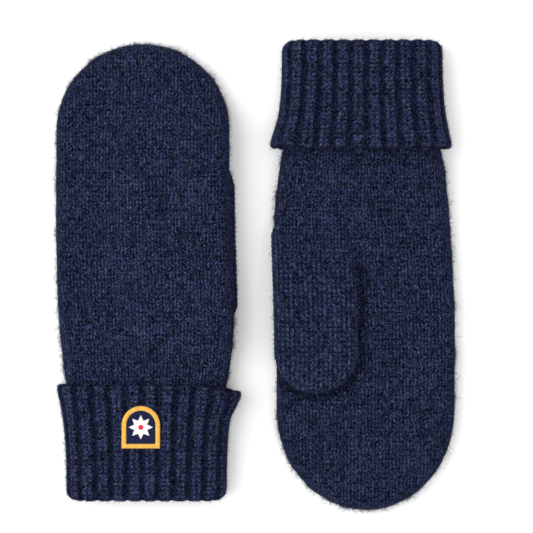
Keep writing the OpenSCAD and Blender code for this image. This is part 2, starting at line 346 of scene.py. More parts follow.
def woolGroup():
    # Melange wool: dark, middle and pale fibres mixed in the yarn. The Relief input darkens the colour down
    # between the stitches and lightens it on their crests: painted shade and painted light.
    group, start, end = makeGroup(
        "woolFibres",
        [("Vector", "NodeSocketVector", None), ("Dark", "NodeSocketColor", (0, 0, 0, 1)),
         ("Middle", "NodeSocketColor", (0, 0, 0, 1)), ("Pale", "NodeSocketColor", (0, 0, 0, 1)),
         ("Hair", "NodeSocketColor", (0, 0, 0, 1)), ("Relief", "NodeSocketFloat", 0.5),
         ("Tint", "NodeSocketFloat", 0.5)],
        [("Color", "NodeSocketColor"), ("Height", "NodeSocketFloat")])
    where = start.outputs["Vector"]
    stretched = addNode(group, "ShaderNodeMapping")
    stretched.inputs["Scale"].default_value = (1, 0.88, 1)
    group.links.new(where, stretched.inputs["Vector"])
    cells = addNode(group, "ShaderNodeTexVoronoi")
    cells.inputs["Scale"].default_value = wool["fleckScale"]
    group.links.new(stretched.outputs["Vector"], cells.inputs["Vector"])
    fleck = addNode(group, "ShaderNodeSeparateColor")
    group.links.new(cells.outputs["Color"], fleck.inputs["Color"])
    fine = noiseNode(group, where, wool["fineScale"], 1, 0.6).outputs["Fac"]
    patch = noiseNode(group, where, wool["patchScale"], 2, 0.5).outputs["Fac"]
    level = mathNode(group, "MULTIPLY", fleck.outputs["Red"], wool["fleckShare"])
    for value, low, high, reach in (
            (start.outputs["Relief"], 0, 1, wool["paintedStitchShade"]), (fine, 0.3, 0.7, wool["fineShare"]),
            (start.outputs["Tint"], 0, 1, wool["tintShare"]), (patch, 0.3, 0.7, wool["patchShare"])):
        level = mathNode(group, "ADD", level, mapRange(group, value, low, high, -reach, reach))
    colour = mixColour(group, mapRange(group, level, 0.0, 0.42, 0, 1), start.outputs["Dark"],
                       start.outputs["Middle"])
    colour = mixColour(group, mapRange(group, level, 0.42, 0.86, 0, 1), colour, start.outputs["Pale"])
    rare = mathNode(group, "GREATER_THAN", fleck.outputs["Green"], wool["rareHair"])
    colour = mixColour(group, mathNode(group, "MULTIPLY", rare, mapRange(group, level, 0.2, 0.8, 0, 0.7)),
                       colour, start.outputs["Hair"])
    # Some fibres are charcoal rather than blue
    dye = mixColour(group, mapRange(group, fleck.outputs["Blue"], 0.55, 0.85, 0, 1), wool["blueDye"],
                    wool["charcoalDye"])
    dyed = addNode(group, "ShaderNodeMix", data_type="RGBA", blend_type="MULTIPLY")
    dyed.inputs["Factor"].default_value = 1
    group.links.new(colour, dyed.inputs["A"])
    group.links.new(dye, dyed.inputs["B"])
    colour = dyed.outputs["Result"]
    group.links.new(colour, end.inputs["Color"])
    group.links.new(mathNode(group, "ADD", fine, mathNode(group, "MULTIPLY", fleck.outputs["Red"], 0.3)),
                    end.inputs["Height"])
    return group


def threadGroup():
    # Fine parallel threads, with the slight unevenness of embroidery
    group, start, end = makeGroup(
        "threads",
        [("Vector", "NodeSocketVector", None), ("Color", "NodeSocketColor", (1, 1, 1, 1)),
         ("Shade", "NodeSocketColor", (0, 0, 0, 1)), ("Relief", "NodeSocketFloat", 0.5)],
        [("Color", "NodeSocketColor"), ("Height", "NodeSocketFloat")])
    where = start.outputs["Vector"]
    blotch = noiseNode(group, where, 420, 3, 0.7).outputs["Fac"]
    fine = noiseNode(group, where, 5200, 1).outputs["Fac"]
    # Relief mixes in the Shade colour down in the grooves between threads: painted shade
    level = mathNode(group, "ADD", mathNode(group, "MULTIPLY", start.outputs["Relief"], 0.6),
                     mathNode(group, "MULTIPLY", blotch, 0.9))
    colour = mixColour(group, mapRange(group, level, 0.25, 1.0, 0, 1), start.outputs["Shade"],
                       start.outputs["Color"])
    group.links.new(colour, end.inputs["Color"])
    group.links.new(fine, end.inputs["Height"])
    return group


groups = {"wool": woolGroup(), "threads": threadGroup()}


def newMaterial(name):
    material = bpy.data.materials.new(name)
    material.use_nodes = True
    tree = material.node_tree
    shader = tree.nodes["Principled BSDF"]
    where = addNode(tree, "ShaderNodeTexCoord").outputs["Object"]
    return material, tree, shader, where


def attributeOutput(tree, name):
    return addNode(tree, "ShaderNodeAttribute", attribute_name=name).outputs["Fac"]


def addBump(tree, shader, height, strength, distance):
    bump = addNode(tree, "ShaderNodeBump")
    bump.inputs["Strength"].default_value = strength
    bump.inputs["Distance"].default_value = distance
    tree.links.new(height, bump.inputs["Height"])
    tree.links.new(bump.outputs["Normal"], shader.inputs["Normal"])


def woolMaterial(name, shade=1.0, relief=True):
    material, tree, shader, where = newMaterial(name)
    fibres = addNode(tree, "ShaderNodeGroup", node_tree=groups["wool"])
    tree.links.new(where, fibres.inputs["Vector"])
    for key in ("dark", "middle", "pale", "hair"):
        colour = wool[key]
        fibres.inputs[key.title()].default_value = tuple(c * shade for c in colour[:3]) + (1,)
    if relief:
        tree.links.new(attributeOutput(tree, "relief"), fibres.inputs["Relief"])
        tree.links.new(attributeOutput(tree, "tint"), fibres.inputs["Tint"])
    tree.links.new(fibres.outputs["Color"], shader.inputs["Base Color"])
    shader.inputs["Roughness"].default_value = 0.92
    shader.inputs["Specular IOR Level"].default_value = 0.02
    shader.inputs["Sheen Weight"].default_value = wool["sheen"]
    shader.inputs["Sheen Roughness"].default_value = 0.3
    shader.inputs["Sheen Tint"].default_value = (0.3, 0.4, 0.8, 1)
    addBump(tree, shader, fibres.outputs["Height"], wool["bump"], wool["bumpDepth"])
    return material


def strandMaterial():
    # Loose fibres: each one keeps one colour of the mix
    material, tree, shader, _ = newMaterial("looseFibres")
    ramp = addNode(tree, "ShaderNodeValToRGB")
    ramp.color_ramp.elements[0].color = (0.0016, 0.0024, 0.008, 1)
    ramp.color_ramp.elements[1].color = (0.13, 0.14, 0.19, 1)
    for place, colour in ((0.4, (0.007, 0.010, 0.032, 1)), (0.85, (0.030, 0.042, 0.125, 1)),
                          (0.975, (0.060, 0.075, 0.15, 1))):
        ramp.color_ramp.elements.new(place).color = colour
    tree.links.new(attributeOutput(tree, "tint"), ramp.inputs["Fac"])
    tree.links.new(ramp.outputs["Color"], shader.inputs["Base Color"])
    shader.inputs["Roughness"].default_value = 0.85
    shader.inputs["Specular IOR Level"].default_value = 0.08
    return material


def threadMaterial(name, colour, shade, roughness=0.45):
    material, tree, shader, where = newMaterial(name)
    threads = addNode(tree, "ShaderNodeGroup", node_tree=groups["threads"])
    tree.links.new(where, threads.inputs["Vector"])
    threads.inputs["Color"].default_value = colour
    threads.inputs["Shade"].default_value = shade
    tree.links.new(attributeOutput(tree, "relief"), threads.inputs["Relief"])
    tree.links.new(threads.outputs["Color"], shader.inputs["Base Color"])
    shader.inputs["Roughness"].default_value = roughness
    shader.inputs["Specular IOR Level"].default_value = 0.25
    addBump(tree, shader, threads.outputs["Height"], 0.3, 0.00008)
    return material


def clothMaterial(name, colour, shade, pitch):
    # Fine twill: diagonal ribs crossed by the weft
    material, tree, shader, where = newMaterial(name)
    turned = addNode(tree, "ShaderNodeMapping")
    turned.inputs["Rotation"].default_value = (0, 0, math.radians(52))
    tree.links.new(where, turned.inputs["Vector"])
    wave = addNode(tree, "ShaderNodeTexWave", wave_type="BANDS", bands_direction="X")
    wave.inputs["Scale"].default_value = 1 / pitch * 0.314
    wave.inputs["Distortion"].default_value = 0.6
    wave.inputs["Detail"].default_value = 1
    tree.links.new(turned.outputs["Vector"], wave.inputs["Vector"])
    fuzz = noiseNode(tree, where, 1800, 2).outputs["Fac"]
    level = mathNode(tree, "ADD", mathNode(tree, "MULTIPLY", wave.outputs["Fac"], 0.7),
                     mathNode(tree, "MULTIPLY", fuzz, 0.4))
    tree.links.new(mixColour(tree, mapRange(tree, level, 0.2, 0.85, 0, 1), shade, colour),
                   shader.inputs["Base Color"])
    shader.inputs["Roughness"].default_value = 0.8
    shader.inputs["Specular IOR Level"].default_value = 0.08
    addBump(tree, shader, level, 0.5, 0.0001)
    return material


def fleeceMaterial():
    material, tree, shader, where = newMaterial("liningFleece")
    tuft = noiseNode(tree, where, 420, 3, 0.65).outputs["Fac"]
    fine = noiseNode(tree, where, 2200, 2).outputs["Fac"]
    level = mathNode(tree, "ADD", mathNode(tree, "MULTIPLY", tuft, 0.7),
                     mathNode(tree, "MULTIPLY", fine, 0.3))
    tree.links.new(mixColour(tree, mapRange(tree, level, 0.32, 0.68, 0, 1), (0.012, 0.013, 0.02, 1),
                             (0.055, 0.058, 0.085, 1)), shader.inputs["Base Color"])
    shader.inputs["Roughness"].default_value = 0.95
    shader.inputs["Sheen Weight"].default_value = 0.4
    addBump(tree, shader, level, 0.8, 0.0008)
    return material


materials = {
    "knit": woolMaterial("brushedKnit"),
    "rib": woolMaterial("ribKnit", 0.86),
    "yarn": woolMaterial("seamYarn", 0.7, relief=False),
    "strands": strandMaterial(),
    "fleece": fleeceMaterial(),
    "gold": threadMaterial("goldThread", (0.86, 0.50, 0.09, 1), (0.42, 0.17, 0.015, 1)),
    "white": threadMaterial("whiteThread", (0.86, 0.86, 0.84, 1), (0.45, 0.45, 0.46, 1)),
    "red": threadMaterial("redThread", (0.72, 0.004, 0.03, 1), (0.36, 0.003, 0.015, 1)),
    "patch": clothMaterial("patchTwill", (0.013, 0.018, 0.060, 1), (0.004, 0.006, 0.022, 1), 0.0006),
    "label": clothMaterial("labelSatin", (0.82, 0.81, 0.78, 1), (0.6, 0.59, 0.56, 1), 0.0004)}
print("materials ready")


def oneStrand():
    bm = bmesh.new()
    bmesh.ops.create_uvsphere(bm, u_segments=3, v_segments=2, radius=1)
    mesh = bpy.data.meshes.new("strand")
    bm.to_mesh(mesh)
    bm.free()
    return mesh


def makeFuzz(name, skin, fuzz, body, keep):
    # Fine wool fibres that stand off the knit. skin is a mesh in the pair's frame, and keep says how
    # many fibres a place on it gets.
    dice = np.random.RandomState(fuzz["seed"])
    skin.calc_loop_triangles()
    flat = np.empty(len(skin.loop_triangles) * 3, dtype=np.int32)
    skin.loop_triangles.foreach_get("vertices", flat)
    tri = getPoints(skin)[flat.reshape(-1, 3)]
    face = np.cross(tri[:, 1] - tri[:, 0], tri[:, 2] - tri[:, 0])
    area = np.linalg.norm(face, axis=1) + 1e-20
    chance = area * keep(tri.mean(1), face / area[:, None])
    number = fuzz["count"]
    pick = dice.choice(len(tri), number, p=chance / chance.sum())
    a, b = dice.rand(2, number)
    a, b = np.where(a + b > 1, (1 - a, 1 - b), (a, b))
    corner, endA, endB = tri[pick].transpose(1, 0, 2)
    root = corner + a[:, None] * (endA - corner) + b[:, None] * (endB - corner)
    up = face[pick] / area[pick][:, None]
    drift = dice.normal(size=(number, 3)) * (1, fuzz["combed"], 1)
    drift -= (drift * up).sum(1)[:, None] * up
    drift /= np.linalg.norm(drift, axis=1)[:, None] + 1e-9
    low, high = fuzz["rise"]
    rise = (low + (high - low) * dice.rand(number) ** 3)[:, None]
    way = drift * np.sqrt(1 - rise ** 2) + up * rise
    side = np.cross(way, up)
    side /= np.linalg.norm(side, axis=1)[:, None] + 1e-9
    third = np.cross(side, way)
    bend = side * dice.uniform(-0.3, 0.3, number)[:, None] + up * dice.uniform(0, 0.16, number)[:, None]
    length = np.clip(dice.gamma(2.5, fuzz["length"] / 2.5, number), 0.4, fuzz["length"] * 2.6)
    length = length[:, None] * mm
    thick = dice.uniform(*fuzz["thick"], number)[:, None] * mm / 2

    strand = oneStrand()
    holder = bpy.data.objects.new("strands", strand)
    bpy.context.scene.collection.objects.link(holder)
    rows = holder.modifiers.new("Copies", "ARRAY")
    rows.count = number
    rows.use_relative_offset = False
    base = getPoints(strand)
    mesh = bpy.data.meshes.new_from_object(holder.evaluated_get(bpy.context.evaluated_depsgraph_get()))
    bpy.data.objects.remove(holder)
    points = np.empty((number, len(base), 3))
    for i, (x, y, z) in enumerate(base):
        out = (z + 1) / 2
        points[:, i] = root + up * 0.00008 + way * length * out + bend * length * (1 - z * z) \
            + (side * x + third * y) * thick
    points[..., 2] = np.maximum(points[..., 2], 0.00003)
    setPoints(mesh, points.reshape(-1, 3))
    setAttribute(mesh, "tint", np.repeat(dice.rand(number), len(base)))
    return finishPiece(name, mesh, materials["strands"], body, ())


hand = {
    "wristHalf": 49.5, "palmHalf": 56, "fingerHalf": 55, "wristY": 67, "palmRun": 60,
    "domeY": 233, "halfThick": 8.5, "from": 60, "sinkRun": 40, "rootY": 135,
    "wale": 4.4, "course": 2.9, "climb": 0.62, "stitchHigh": 0.62, "wander": 0.5,
    "wall": 2.4, "crown": 0.9, "sag": 0.8, "spread": {"left": 0, "right": 1.4}, "lean": 2.6,
    "crotch": 32.5, "ramp": 7, "trench": 2.0, "shadeRun": {"left": 4, "right": 13}, "paintedCreaseShade": 0.3,
    "columnsPerWale": 4, "rowsPerCourse": 4}
lining = {"from": 61, "outer": 2.6, "inner": 4.2, "columns": 56, "rows": 90, "tuft": 0.25}


def handHalfWidth(y):
    grown = np.clip((y - hand["wristY"]) / hand["palmRun"], 0, 1)
    wide = hand["wristHalf"] + (hand["palmHalf"] - hand["wristHalf"]) * (1 - (1 - grown) ** 2)
    taper = ease((y - hand["rootY"]) / (hand["domeY"] - hand["rootY"]))
    return wide - (hand["palmHalf"] - hand["fingerHalf"]) * taper


def thumbLift(side, x, y):
    # How far the folded thumb raises the left hand that lies on it
    if side == "right":
        return 0 * x
    place = places[side]
    rise = place["thumbHigh"] + 0.3
    return (rise * ease((x - place["thumbX"] + place["thumbHalf"] + 35) / 32)
            * ease((y - place["thumbFrom"] + 32) / 30) * (1 - ease((y - place["thumbTo"] - 3) / 38)))


def handMid(side, x, y):
    cuff = places[side]["cuffMid"]
    down = ease((y - hand["wristY"]) / hand["sinkRun"])
    return cuff + (hand["halfThick"] - cuff) * down + thumbLift(side, x, y)


def rootRamp(side, x, y):
    # The palm's knit swells into the root of the thumb, and ends in the crotch beside it
    place = places[side]
    inner = place["thumbX"] - place["thumbHalf"]
    crotch = place["thumbFrom"] + hand["crotch"]
    return (hand["ramp"] * ease((y - crotch + 37) / 36) * ease((x - inner + 13) / 24)
            * (1 - ease((y - crotch + 4) / 9)))


def thumbPress(side, x, y):
    # The folded thumb presses a shallow trench into the palm round its outline
    place = places[side]
    half = place["thumbHalf"]
    beyond = np.maximum(y - (place["thumbTo"] - half), 0)
    gap = np.hypot(x - place["thumbX"], beyond) - half
    free = ease((y - place["thumbFrom"] - hand["crotch"] + 8) / 10)
    return hand["trench"] * np.exp(-((gap - 1.0) / 3.4) ** 2) * free


def handForm(side, inset, start):
    tip = places[side]["tip"] - hand["domeY"] - inset
    thick = hand["halfThick"] - inset
    return {"halfThick": thick, "knitHalf": hand["palmHalf"] + (math.pi / 2 - 1) * thick - inset,
            "halfWidth": lambda y: handHalfWidth(y) - inset + hand["spread"][side] * ease((y - 120) / 60),
            "ends": [(hand["domeY"], 1, tip + hand["spread"][side] * 0.8)],
            "along": (start, hand["domeY"] + tip + (math.pi / 2 - 1) * thick + 3)}


def stockinette(across, along, wale, course, climb, seed):
    # Height of plain knit, 0 to 1, and each stitch's random tint
    column = across / wale + 0.25
    part = column - np.floor(column)
    leg = np.abs(np.sin(2 * math.pi * part)) ** 0.8
    step = along / course - climb * np.abs(2 * part - 1)
    bead = 0.5 + 0.5 * np.cos(2 * math.pi * step)
    tint = scatter(np.floor(column * 2), np.floor(step), seed)
    return leg * (0.3 + 0.7 * bead) * (0.7 + 0.6 * tint), tint


def slantFor(wale, course, climb):
    def slant(x):
        part = (x / wale + 0.25) % 1
        return climb * abs(2 * part - 1) * course
    return slant


def plainSkin(side, form, columns, rows, settle, tuft=0):
    # A smooth skin of the same bag, for a wall's inner face or a lining, settled where the bag lies
    skin = flatSheets(form, columns, rows)
    points, normals, depth = onPillow(*getPoints(skin).T, form)
    if tuft:
        points += normals * (ripples(points[:, 0], points[:, 1], 3.2, 41) * tuft * ease(depth / 3))[:, None]
    setPoints(skin, toPair(side, settle(side, points)))
    setAttribute(skin, "relief", np.full(len(points), 0.4))
    setAttribute(skin, "tint", np.full(len(points), 0.5))
    return skin


def placeHand(side, points):
    points[:, 2] += handMid(side, points[:, 0], points[:, 1])
    return points


def makeHand(side):
    form = handForm(side, 0, hand["from"])
    wales = 2 * round(form["knitHalf"] / hand["wale"])
    wale = 2 * form["knitHalf"] / wales
    courses = round((form["along"][1] - form["along"][0]) / hand["course"])
    outer = flatSheets(form, wales * hand["columnsPerWale"], courses * hand["rowsPerCourse"],
                       slantFor(wale, hand["course"], hand["climb"]))
    flat = getPoints(outer)
    seed = 11 if side == "left" else 12
    depth = onPillow(*flat.T, form)[2]
    across = flat[:, 0] + 0.35 * ripples(flat[:, 0], flat[:, 1], 9, seed + 3) * ease(depth / 3)
    relief, tint = stockinette(flat[:, 0], flat[:, 1], wale, hand["course"], hand["climb"], seed)
    points, normals, depth = onPillow(across, flat[:, 1], flat[:, 2], form)
    x, y = points[:, 0], points[:, 1]
    bulk = ripples(x, y, 13, seed + 7) * 0.18 * hand["wander"] + ripples(x, y, 5, seed + 8) * 0.1
    height = hand["stitchHigh"] * (relief - 0.75) + bulk * ease(depth / 4)
    points += normals * height[:, None]
    openHand = ease((y - 80) / 30) * ease(depth / 30)
    top = flat[:, 2] > 0
    if side == "left":
        points[:, 2] += np.where(top, hand["crown"] * openHand, 0)
    points[:, 2] += np.where(top, hand["sag"] * (ripples(x, y, 55, seed + 9) - 0.4) * openHand * 0.6, 0)
    thumbSide = 1 if side == "right" else -1
    ramp = rootRamp(side, x, y) * ease(depth / 8)
    points[:, 2] += np.where(flat[:, 2] * thumbSide > 0, ramp * thumbSide, 0)
    if side == "right":
        points[:, 2] -= np.where(top, thumbPress(side, x, y) * ease(depth / 8), 0)
    points[:, 2] += handMid(side, x, y)
    points[:, 2] = np.maximum(points[:, 2], 0.05)
    # Painted shade: the colour is darkened in a band on the palm along the cuff's edge, and round the thumb's
    # trench on the right mitten
    paintedShade = hand["paintedCreaseShade"] * (1 - ease((y - places[side]["cuffDepth"]) / hand["shadeRun"][side]))
    if side == "right":
        paintedShade += hand["paintedCreaseShade"] * np.where(top, thumbPress(side, x, y), 0)
    setPoints(outer, toPair(side, points))
    setAttribute(outer, "relief", relief - paintedShade)
    setAttribute(outer, "tint", tint)
    weld(outer)

    inner = plainSkin(side, handForm(side, hand["wall"], hand["from"]), 56, 70, placeHand)
    weld(inner)
    whole = joinWalls(side, outer, inner, hand["from"])
    finishPiece(side + "_knit_hand", whole, materials["knit"], side + "_mitten", [side + "_hand_shell"])
    return outer


def makeLining(side):
    skins = []
    for inset, tuft in ((lining["outer"], 0), (lining["inner"], lining["tuft"])):
        form = handForm(side, inset, lining["from"])
        skins.append(plainSkin(side, form, lining["columns"], lining["rows"], placeHand, tuft))
        weld(skins[-1])
    finishPiece(side + "_fleece_lining", joinWalls(side, *skins, lining["from"]), materials["fleece"],
                side + "_mitten", [side + "_hand_lining"])


thumb = {
    "wale": 6.0, "course": 3.05, "climb": 0.6, "stitchHigh": 0.8, "wall": 2.4,
    "crown": 2.2, "rootRound": 14, "rootRun": 42, "columnsPerWale": 8, "rowsPerCourse": 6,
    "liningWall": 1.0}


def thumbForm(side, inset):
    place = places[side]
    half = place["thumbHalf"] - inset
    thick = (place["thumbHigh"] - place["thumbLow"]) / 2 - inset
    spare = (math.pi / 2 - 1) * thick
    return {"halfThick": thick, "knitHalf": half + spare, "halfWidth": lambda y: half + 0 * y,
            "ends": [(place["thumbFrom"] + thumb["rootRound"], -1, thumb["rootRound"] - inset),
                     (place["thumbTo"] - place["thumbHalf"], 1, half)],
            "along": (place["thumbFrom"] + inset - spare - 1, place["thumbTo"] - inset + spare + 1)}


def placeThumb(side, points):
    # Moves the thumb on to its side of the palm, and runs its root down into the palm
    place = places[side]
    up = 1 if side == "right" else -1
    palm = place["thumbLow"] - 0.3 if side == "right" else place["thumbHigh"] + 0.3
    points[:, 0] += place["thumbX"]
    points[:, 2] += (place["thumbLow"] + place["thumbHigh"]) / 2
    free = ease((points[:, 1] - place["thumbFrom"] - 3.5) / thumb["rootRun"])
    under = palm - up * 1.6
    points[:, 2] = under + (points[:, 2] - under) * (0.04 + 0.96 * free)
    return points


def makeThumb(side):
    form = thumbForm(side, 0)
    wales = 2 * round(form["knitHalf"] / thumb["wale"])
    wale = 2 * form["knitHalf"] / wales
    courses = round((form["along"][1] - form["along"][0]) / thumb["course"])
    outer = flatSheets(form, wales * thumb["columnsPerWale"], courses * thumb["rowsPerCourse"],
                       slantFor(wale, thumb["course"], thumb["climb"]))
    flat = getPoints(outer)
    seed = 21 if side == "left" else 22
    relief, tint = stockinette(flat[:, 0], flat[:, 1], wale, thumb["course"], thumb["climb"], seed)
    points, normals, depth = onPillow(*flat.T, form)
    upper = flat[:, 2] * (1 if side == "right" else -1) > 0
    hidden = 0.15 + (thumb["stitchHigh"] - 0.15) * (1 - ease(depth / 3))
    height = np.where(upper, thumb["stitchHigh"], hidden) * (relief - 0.8)
    height += ripples(points[:, 0], points[:, 1], 6, seed + 5) * 0.12 * ease(depth / 4)
    points += normals * height[:, None]
    puff = thumb["crown"] * ease(depth / 22) * (1 if side == "right" else 0)
    points[:, 2] += np.where(flat[:, 2] > 0, puff, 0)
    points = placeThumb(side, points)
    points[:, 2] = np.maximum(points[:, 2], 0.05)
    setPoints(outer, toPair(side, points))
    setAttribute(outer, "relief", relief * 1.05 - 0.05)
    setAttribute(outer, "tint", tint)
    weld(outer)

    inner = plainSkin(side, thumbForm(side, thumb["wall"]), 24, 40, placeThumb)
    weld(inner)
    piece = finishPiece(side + "_knit_thumb", nestSkins(outer, inner), materials["knit"], None,
                        [side + "_thumb_shell"])
    blendThumb(side, piece)
    return outer


def makeThumbLining(side):
    gap = thumb["wall"] + 0.1
    skins = [plainSkin(side, thumbForm(side, inset), 24, 40, placeThumb)
             for inset in (gap, gap + thumb["liningWall"])]
    piece = finishPiece(side + "_thumb_fleece", nestSkins(*skins), materials["fleece"], None,
                        [side + "_thumb_lining"])
    blendThumb(side, piece)


def blendThumb(side, piece):
    # Bakes the piece's placement into its mesh
    place = places[side]
    rootY = place["thumbFrom"] + place["thumbHalf"]
    z = (place["thumbLow"] + place["thumbHigh"]) / 2
    ends = toPair(side, np.array([[place["thumbX"], rootY - 18, z], [place["thumbX"], rootY + 16, z]]))
    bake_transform(piece)


cuff = {
    "foldHalf": 50.5, "freeHalf": 57.5, "flare": 3.2, "wall": 4.0, "lip": 7.2, "lipY": 3.5,
    "ribs": 24, "knitShare": 0.70, "shift": 0.34, "course": 2.7, "climb": 0.55, "rise": 0.25, "groove": 1.75,
    "stitchHigh": 0.5, "innerShare": 0.35, "foldRound": 2.2, "edgeRound": 1.5,
    "lobe": {"left": 3.4, "right": 1.7}, "droop": {"left": 4.5, "right": 0.5}}
sleeve = {
    "foldHalf": 46.1, "endHalf": 49.3, "from": 3.8, "to": 60, "halfThick": 9.2, "wall": 3.0}
# Where a rib's columns of points lie, as shares of the rib: two knit wales and the purl valley
ribColumns = [0, 0.0875, 0.175, 0.2625, 0.35, 0.4375, 0.525, 0.6125, 0.70, 0.775, 0.85, 0.925]


def alongPath(corners, spacing):
    # Points at an even spacing along a path of straight runs
    corners = np.array(corners, dtype=float)
    runs = np.linalg.norm(np.diff(corners, axis=0), axis=1)
    total = np.concatenate([[0], np.cumsum(runs)])
    number = max(3, int(round(total[-1] / spacing)))
    stations = np.linspace(0, total[-1], number, endpoint=False)
    return np.stack([np.interp(stations, total, corners[:, i]) for i in range(2)], 1)


def roundCorner(centre, radii, start, stop, steps):
    turns = np.radians(np.linspace(start, stop, steps))
    return [(centre[0] + radii[0] * math.cos(a), centre[1] + radii[1] * math.sin(a)) for a in turns]


def onTube(share, inset, y, halfWide, halfThick):
    # Place and outward direction on a flattened tube; share runs round it from the middle of its top
    flat = halfWide - halfThick
    total = 4 * flat + 2 * math.pi * halfThick
    run = share * total
    arc = math.pi * halfThick
    thick = halfThick - inset
    a1 = (run - flat) / halfThick
    a2 = (run - 3 * flat - arc) / halfThick
    pick = [run < flat, run < flat + arc, run < 3 * flat + arc, run < 3 * flat + 2 * arc]
    x = np.select(pick, [-run, -flat - thick * np.sin(a1), run - 2 * flat - arc, flat + thick * np.sin(a2)],
                  4 * flat + 2 * arc - run)
    z = np.select(pick, [thick, thick * np.cos(a1), -thick, -thick * np.cos(a2)], thick)
    nx = np.select(pick, [0 * run, -np.sin(a1), 0 * run, np.sin(a2)], 0)
    nz = np.select(pick, [1 + 0 * run, np.cos(a1), -1 + 0 * run, -np.cos(a2)], 1)
    return np.stack([x, y, z], 1), nx, nz


def ribRelief(share, along, seed):
    # Height of the rib's ridge, height of its stitches, and each stitch's random tint
    column = share * cuff["ribs"]
    part = column - np.floor(column)
    knit = cuff["knitShare"]
    hump = np.sin(math.pi * np.clip(part / knit, 0, 1))
    dip = np.sin(math.pi * np.clip((part - knit) / (1 - knit), 0, 1))
    ridge = 0.55 + 0.45 * hump ** 0.35 - 0.55 * dip ** 0.9
    wale = part / (knit / 2)
    place = wale - np.floor(wale)
    leg = 0.35 + 0.65 * np.abs(np.sin(math.pi * place)) ** 0.8
    step = along / cuff["course"] - cuff["climb"] * np.abs(2 * place - 1)
    bead = 0.5 + 0.5 * np.cos(2 * math.pi * step)
    purl = 0.5 + 0.5 * np.cos(2 * math.pi * along / cuff["course"])
    tint = scatter(np.floor(column * 4), np.floor(step) + 40, seed)
    stitch = np.where(part < knit, leg * (0.15 + 0.85 * bead), 0.35 * purl) * (0.8 + 0.4 * tint)
    return ridge, stitch, tint


def makeRibTube(side, name, path, halfWideAt, halfThick, body, node, seed, relief, edgeY=None):
    # A closed wall of rib knit: path runs round the wall's section as (inset, y), share round the tube
    section = alongPath(path, cuff["course"] / 4)
    rows = len(section)
    mesh, column, row = makeGrid(cuff["ribs"] * len(ribColumns), rows)
    row = row % rows
    share = (column // len(ribColumns) + np.array(ribColumns)[column % len(ribColumns)]) / cuff["ribs"]
    share = (share + cuff["shift"] / cuff["ribs"]) % 1
    tangent = np.roll(section, -1, axis=0) - np.roll(section, 1, axis=0)
    tangent /= np.linalg.norm(tangent, axis=1)[:, None] + 1e-9
    inset, y = section[row, 0], section[row, 1]
    inwards, lengthwise = tangent[row, 1], tangent[row, 0]      # The outer face's path runs towards the fold
    ribShare = (share * cuff["ribs"] - cuff["shift"]) / cuff["ribs"]
    ridge, stitch, tint = ribRelief(ribShare + 1, y, seed)
    points, nx, nz = onTube(share, inset, y, halfWideAt(y), halfThick)
    soften = 1 - 0.6 * ease((y - edgeY + 9) / 9) if edgeY else 1
    height = relief * soften * (cuff["rise"] - cuff["groove"] * (1 - ridge))
    height += cuff["stitchHigh"] * (stitch - 0.8)
    height = np.where(inwards < -0.2, height, height * cuff["innerShare"])
    points[:, 0] -= nx * inwards * height
    points[:, 2] -= nz * inwards * height
    points[:, 1] -= lengthwise * height
    if edgeY:
        near = ease((y - edgeY + 16) / 16)
        wave = ripples(points[:, 0], points[:, 2] * 0.5, 34, seed + 2) * 0.7 + 0.5 * ridge
        points[:, 1] += near * wave
        corner = ease((y - edgeY + 26) / 26) * ease((points[:, 0] / halfWideAt(y) - 0.55) / 0.45)
        points[:, 0] += corner * cuff["lobe"][side]
        points[:, 1] -= corner * cuff["droop"][side]
    points[:, 2] += places[side]["cuffMid"]
    points[:, 2] = np.maximum(points[:, 2], 0.05)
    setPoints(mesh, toPair(side, points))
    # The rib's relief darkens its colour in the purl valleys and lightens it on the ridges: painted shade and
    # painted light
    setAttribute(mesh, "relief", 1.8 * ridge * (0.3 + 0.95 * stitch) - 0.68)
    setAttribute(mesh, "tint", tint)
    mesh = closeUp(mesh)
    finishPiece(name, mesh, materials["rib"], body, [node])
    return mesh


def makeCuff(side):
    depth = places[side]["cuffDepth"]
    lip, wall, lipY = cuff["lip"], cuff["wall"], cuff["lipY"]
    half = lip / 2
    path = [(0, depth - 2)]
    path += roundCorner((half, half), (half, half), 180, 360, 13)
    path += [(lip, lipY), (wall, lipY + 0.1), (wall, depth - 2)]
    path += roundCorner((wall / 2, depth - 2), (wall / 2, 2), 0, 180, 9)

    def halfWideAt(y):
        share = np.clip(y / depth, 0, 1) ** cuff["flare"]
        rounded = (cuff["foldRound"] * (1 - np.clip(y / 7, 0, 1)) ** 2
                   + cuff["edgeRound"] * np.clip((y - depth + 5) / 5, 0, 1) ** 2)
        return cuff["foldHalf"] + (cuff["freeHalf"] - cuff["foldHalf"]) * share - rounded
    return makeRibTube(side, side + "_rib_cuff", path, halfWideAt, places[side]["cuffHalfThick"],
                       side + "_cuff", side + "_cuff_turnback", 31, 1, depth)


def makeSleeve(side):
    wall = sleeve["wall"]
    low, high = sleeve["from"], sleeve["to"]
    path = [(0, high), (0, low + 1.2)] + roundCorner((wall / 2, low + 1.2), (wall / 2, 1.2), 180, 360, 7)
    path += [(wall, high), (0, high)]

    def halfWideAt(y):
        share = np.clip(y / high, 0, 1) ** cuff["flare"]
        return sleeve["foldHalf"] + (sleeve["endHalf"] - sleeve["foldHalf"]) * share
    return makeRibTube(side, side + "_rib_sleeve", path, halfWideAt, sleeve["halfThick"],
                       side + "_mitten", side + "_cuff_sleeve", 36, 0.35)


badge = {
    "border": 3.0, "high": 1.25, "thread": 0.52, "lean": 0.7, "ridge": 0.13, "groundHigh": 0.5,
    "petals": 8, "reach": 7.6, "petalHalf": 2.1, "petalHigh": 0.42, "satin": 0.36,
    "knot": 2.2, "knotHigh": 0.6, "tack": 2.4}


